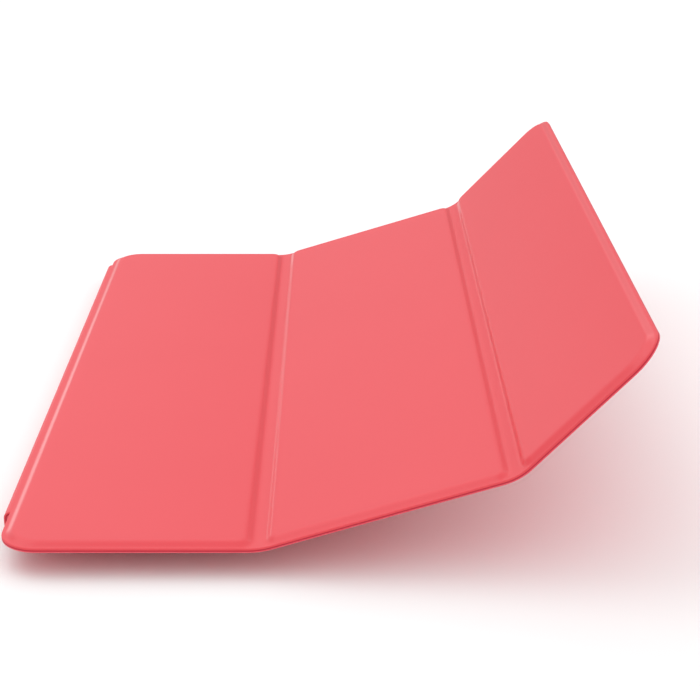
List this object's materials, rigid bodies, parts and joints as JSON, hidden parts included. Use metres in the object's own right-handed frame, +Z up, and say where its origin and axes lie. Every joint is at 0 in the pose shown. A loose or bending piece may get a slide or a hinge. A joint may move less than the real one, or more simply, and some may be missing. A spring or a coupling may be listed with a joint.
{
  "type": "folding tablet cover",
  "caption": "Folding magnetic tablet cover: a side spine and stiff panels joined by soft folds, shown partly rolled up off the glass.",
  "frame": {"origin": "on the spine's inner face, half way down the tablet's side and half way along the cover", "axes": "+X across the glass from the spine to the free edge, +Y along the folds, +Z up off the glass"},
  "size_m": [0.1569, 0.24, 0.0575],
  "materials": {
    "skin": "smooth satin polyurethane skin with a very fine grain",
    "lining": "brushed microfibre",
    "web": "dense bonding web, seen only as a thin line at cut edges",
    "board": "glass-fibre laminate sheet",
    "carrier": "moulded plastic",
    "magnet": "nickel plating",
    "steel": "cold-rolled strip"
  },
  "bodies": {
    "spine": {"spine_skin": "skin", "spine_web": "web", "spine_carrier": "carrier", "spine_keeper": "steel", "spine_magnet_row": "magnet", "spine_lining": "lining"},
    "flap": {"flap_skin": "skin", "flap_web": "web", "flap_lining": "lining"},
    "panel_1": {"panel_1_skin": "skin", "panel_1_web": "web", "panel_1_lining": "lining", "panel_1_board": "board", "panel_1_steel": "steel"},
    "fold_1": {"fold_1_skin": "skin", "fold_1_web": "web", "fold_1_lining": "lining"},
    "panel_2": {"panel_2_skin": "skin", "panel_2_web": "web", "panel_2_lining": "lining", "panel_2_board": "board"},
    "fold_2": {"fold_2_skin": "skin", "fold_2_web": "web", "fold_2_lining": "lining"},
    "panel_3": {"panel_3_skin": "skin", "panel_3_web": "web", "panel_3_lining": "lining", "panel_3_board": "board", "clasp_magnet_row": "magnet", "wake_magnet": "magnet"}
  },
  "joints": [
    {"name": "spine_fold", "type": "hinge", "parent": "spine", "child": "flap", "pos_m": [-0.00085, 0, 0.00305], "axis": [0, -1, 0], "range_deg": [0, 90]},
    {"name": "spine_fold_upper", "type": "hinge", "parent": "flap", "child": "panel_1", "pos_m": [-0.00022, 0, 0.00367], "axis": [0, -1, 0], "range_deg": [0, 90]},
    {"name": "first_fold", "type": "hinge", "parent": "panel_1", "child": "fold_1", "pos_m": [0.0613, 0, 0.00367], "axis": [0, -1, 0], "range_deg": [-8.5, 59]},
    {"name": "first_fold_outer", "type": "hinge", "parent": "fold_1", "child": "panel_2", "pos_m": [0.06367, 0, 0.00403], "axis": [0, -1, 0], "range_deg": [-8.5, 59]},
    {"name": "second_fold", "type": "hinge", "parent": "panel_2", "child": "fold_2", "pos_m": [0.12163, 0, 0.02175], "axis": [0, -1, 0], "range_deg": [-14.5, 43]},
    {"name": "second_fold_outer", "type": "hinge", "parent": "fold_2", "child": "panel_3", "pos_m": [0.12367, 0, 0.023], "axis": [0, -1, 0], "range_deg": [-14.5, 43]}
  ],
  "couplings": [
    {"joint": "spine_fold_upper", "follows": "spine_fold", "ratio": 1},
    {"joint": "first_fold_outer", "follows": "first_fold", "ratio": 1},
    {"joint": "second_fold_outer", "follows": "second_fold", "ratio": 1}
  ]
}
